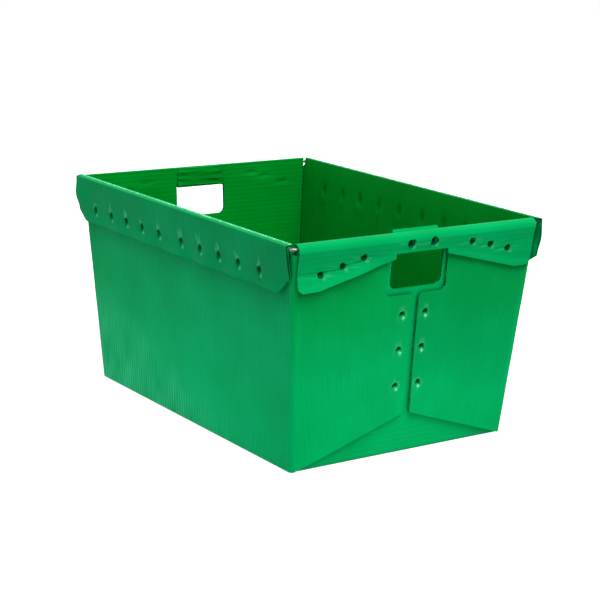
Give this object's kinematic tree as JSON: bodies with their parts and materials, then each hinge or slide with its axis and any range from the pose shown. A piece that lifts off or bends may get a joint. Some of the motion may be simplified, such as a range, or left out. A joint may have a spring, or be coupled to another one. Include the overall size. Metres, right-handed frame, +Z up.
{
  "type": "nesting tote",
  "caption": "Open tapered tote of folded fluted plastic sheet, with a wire-stiffened folded rim, wrapped corner flaps and a hand hole in each end.",
  "frame": {"origin": "on the floor under the middle of the tote", "axes": "+X along the tote to its near end, +Y across to its right side, +Z up"},
  "size_m": [0.5628, 0.4138, 0.3094],
  "materials": {
    "green_sheet": "satin, finely ribbed by its flutes",
    "rim_wire": "drawn wire, dull"
  },
  "bodies": {
    "root": {"bottom_panel": "green_sheet", "side_panel_left": "green_sheet", "side_panel_right": "green_sheet", "side_rim_flange_left": "green_sheet", "side_rim_flange_right": "green_sheet", "end_panel_near": "green_sheet", "end_panel_far": "green_sheet", "end_rim_flange_near": "green_sheet", "end_rim_flange_far": "green_sheet", "grip_tab_near": "green_sheet", "grip_tab_far": "green_sheet", "corner_flap_near_left": "green_sheet", "corner_flap_near_right": "green_sheet", "corner_flap_far_left": "green_sheet", "corner_flap_far_right": "green_sheet", "rim_wire": "rim_wire"}
  },
  "joints": []
}
